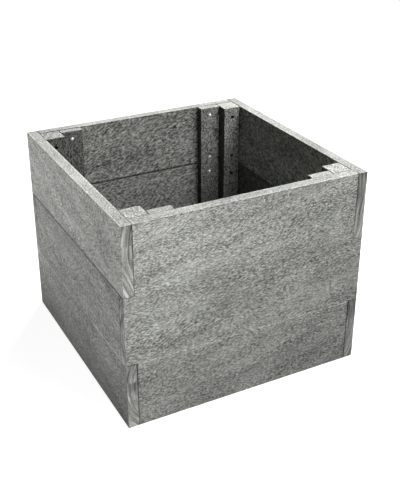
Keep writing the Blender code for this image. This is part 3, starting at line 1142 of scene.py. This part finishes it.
class PLANTER_OT_wall_boards(bpy.types.Operator):
    """Build the twelve wall boards"""

    bl_idname = "planter.wall_boards"
    bl_label = "Wall Boards"

    def execute(self, context):
        material = timber_material(context.scene.planter_timber, "board")
        for level in LEVELS:
            for walls, grain_axis in ((ENDS, X), (HANDS, Y)):
                for wall in walls:
                    node = f"{wall}_board_{level}"
                    make_timber(context, node, grain_axis, material, COURSE_SHADES[level])
        return {"FINISHED"}


class PLANTER_OT_posts(bpy.types.Operator):
    """Build the corner posts and battens"""

    bl_idname = "planter.posts"
    bl_label = "Posts and Battens"

    def execute(self, context):
        material = timber_material(context.scene.planter_timber, "frame")
        for end, hand in CORNERS:
            for kind in ("post", "batten"):
                make_timber(context, f"{end}_{hand}_{kind}", Z, material)
        return {"FINISHED"}


class PLANTER_OT_floor(bpy.types.Operator):
    """Build the floor bearers and slats"""

    bl_idname = "planter.floor"
    bl_label = "Floor"

    def execute(self, context):
        material = timber_material(context.scene.planter_timber, "floor")
        for hand in HANDS:
            make_timber(context, f"{hand}_bearer", Y, material)
        for i in SLATS:
            node = f"floor_slat_{i}"
            make_timber(context, node, X, material, notches=list(slat_notches(node)))
        return {"FINISHED"}


class PLANTER_OT_screws(bpy.types.Operator):
    """Build all the screws"""

    bl_idname = "planter.screws"
    bl_label = "Screws"

    def execute(self, context):
        settings = context.scene.planter_screws
        material = steel_material(settings.steel)
        for screw in all_screws(settings):
            mesh = screw_mesh(screw.length, screw.head, settings, material)
            piece = add_piece(screw.name, mesh, screw.node)
            piece.matrix_world = screw_matrix(screw)
        return {"FINISHED"}


class PLANTER_OT_stage(bpy.types.Operator):
    """Build the floor, lamps, world and camera"""

    bl_idname = "planter.stage"
    bl_label = "Stage"

    def execute(self, context):
        settings = context.scene.planter_stage
        make_floor(settings)
        make_world(context.scene)
        make_lamps()
        make_camera(context.scene, settings)
        context.scene.view_settings.view_transform = "Standard"
        return {"FINISHED"}


class PLANTER_PT_sidebar(bpy.types.Panel):
    """Settings and steps of the planter"""

    bl_label = "Timber Planter Box"
    bl_idname = "PLANTER_PT_sidebar"
    bl_space_type = "VIEW_3D"
    bl_region_type = "UI"
    bl_category = "Planter"

    def draw(self, context):
        for title, group in (
            ("Timber", context.scene.planter_timber),
            ("Screws", context.scene.planter_screws),
            ("Stage", context.scene.planter_stage),
        ):
            box = self.layout.box()
            box.label(text=title)
            for name in group.__annotations__:
                box.prop(group, name)
        for operator in OPERATORS:
            self.layout.operator(operator.bl_idname)


def seen_directly(shading):
    """1 for camera, glossy and transmission rays, otherwise 0."""
    path = shading.node("ShaderNodeLightPath").outputs
    seen = shading.maths("MAXIMUM", path["Is Camera Ray"], path["Is Glossy Ray"])
    return shading.maths("MAXIMUM", seen, path["Is Transmission Ray"])


def make_floor(settings):
    """A pale floor under the object, its glow cut out under the planter as a painted shadow."""
    mesh = bpy.data.meshes.new("floor")
    reach = settings.floor_size / 2
    corners = [(x * reach, y * reach, 0) for x, y in ((-1, -1), (1, -1), (1, 1), (-1, 1))]
    mesh.from_pydata(corners, [], [(0, 1, 2, 3)])
    floor = place_object("studio_floor", mesh)
    material = bpy.data.materials.new("pale floor")
    material.use_nodes = True
    tree = material.node_tree
    tree.nodes.clear()
    shading = Shading(tree)
    shown = shading.node("ShaderNodeBsdfDiffuse", {"Color": SHOWN_FLOOR})
    place = shading.node("ShaderNodeTexCoord").outputs["Object"]
    distance = shading.node("ShaderNodeVectorMath", {0: place}, operation="LENGTH").outputs["Value"]
    sides = shading.node("ShaderNodeSeparateXYZ", {"Vector": shading.vector("ABSOLUTE", place)}).outputs
    square = shading.maths("MAXIMUM", sides["X"], sides["Y"])
    # Painted shadow: no glow on the square of floor under the planter.
    covered = shading.ramp(square, settings.covered_floor, settings.covered_floor + COVER_EDGE)
    strength = shading.maths("MULTIPLY", shading.ramp(distance, *GLOW_REACH, *GLOW_STRENGTH), covered)
    glow = shading.node("ShaderNodeEmission", {"Color": WHITE, "Strength": strength})
    bright = shading.node("ShaderNodeAddShader", {0: shown.outputs[0], 1: glow.outputs[0]})
    dull = shading.node("ShaderNodeBsdfDiffuse", {"Color": UNSEEN_FLOOR})
    chosen = shading.node(
        "ShaderNodeMixShader", {0: seen_directly(shading), 1: dull.outputs[0], 2: bright.outputs[0]}
    )
    shading.node("ShaderNodeOutputMaterial", {"Surface": chosen.outputs[0]})
    mesh.materials.append(material)


def make_world(scene):
    """A white surround for what sees it directly, and a fill of strength WORLD_FILL for the rest."""
    world = bpy.data.worlds.new("studio")
    world.use_nodes = True
    tree = world.node_tree
    tree.nodes.clear()
    shading = Shading(tree)
    white = shading.node("ShaderNodeBackground", {"Color": WHITE, "Strength": 1.0})
    fill = shading.node("ShaderNodeBackground", {"Color": WHITE, "Strength": WORLD_FILL})
    chosen = shading.node(
        "ShaderNodeMixShader", {0: seen_directly(shading), 1: fill.outputs[0], 2: white.outputs[0]}
    )
    shading.node("ShaderNodeOutputWorld", {"Surface": chosen.outputs[0]})
    scene.world = world


def make_lamps():
    """Soft rectangular lamps."""
    for name, place, aim, size, power in LAMPS:
        light = bpy.data.lights.new(name, "AREA")
        light.shape = "RECTANGLE"
        light.size, light.size_y = size
        light.energy = power
        lamp = place_object(name, light)
        lamp.visible_camera = False
        lamp.location = place
        lamp.rotation_euler = (Vector(aim) - Vector(place)).to_track_quat("-Z", "Y").to_euler()


def make_camera(scene, settings):
    """The camera."""
    data = bpy.data.cameras.new("camera")
    data.lens = settings.camera_lens
    data.shift_y = settings.camera_shift
    camera = place_object("camera", data)
    camera.location = settings.camera_location
    camera.rotation_euler = (math.pi / 2 - settings.camera_elevation, 0.0, settings.camera_azimuth)
    scene.camera = camera


OPERATORS = (
    PLANTER_OT_node_groups,
    PLANTER_OT_stage,
    PLANTER_OT_wall_boards,
    PLANTER_OT_posts,
    PLANTER_OT_floor,
    PLANTER_OT_screws,
)
CLASSES = (
    PlanterTimberSettings,
    PlanterScrewSettings,
    PlanterStageSettings,
    *OPERATORS,
    PLANTER_PT_sidebar,
)


def register():
    """Register the classes and their settings."""
    for cls in CLASSES:
        bpy.utils.register_class(cls)
    bpy.types.Scene.planter_timber = PointerProperty(type=PlanterTimberSettings)
    bpy.types.Scene.planter_screws = PointerProperty(type=PlanterScrewSettings)
    bpy.types.Scene.planter_stage = PointerProperty(type=PlanterStageSettings)


def unregister():
    """Undo register."""
    del bpy.types.Scene.planter_stage
    del bpy.types.Scene.planter_screws
    del bpy.types.Scene.planter_timber
    for cls in reversed(CLASSES):
        bpy.utils.unregister_class(cls)


def main():
    """Build everything in order."""
    register()
    bpy.ops.planter.node_groups()
    bpy.ops.planter.stage()
    bpy.ops.planter.wall_boards()
    bpy.ops.planter.posts()
    bpy.ops.planter.floor()
    bpy.ops.planter.screws()


if __name__ == "__main__":
    main()
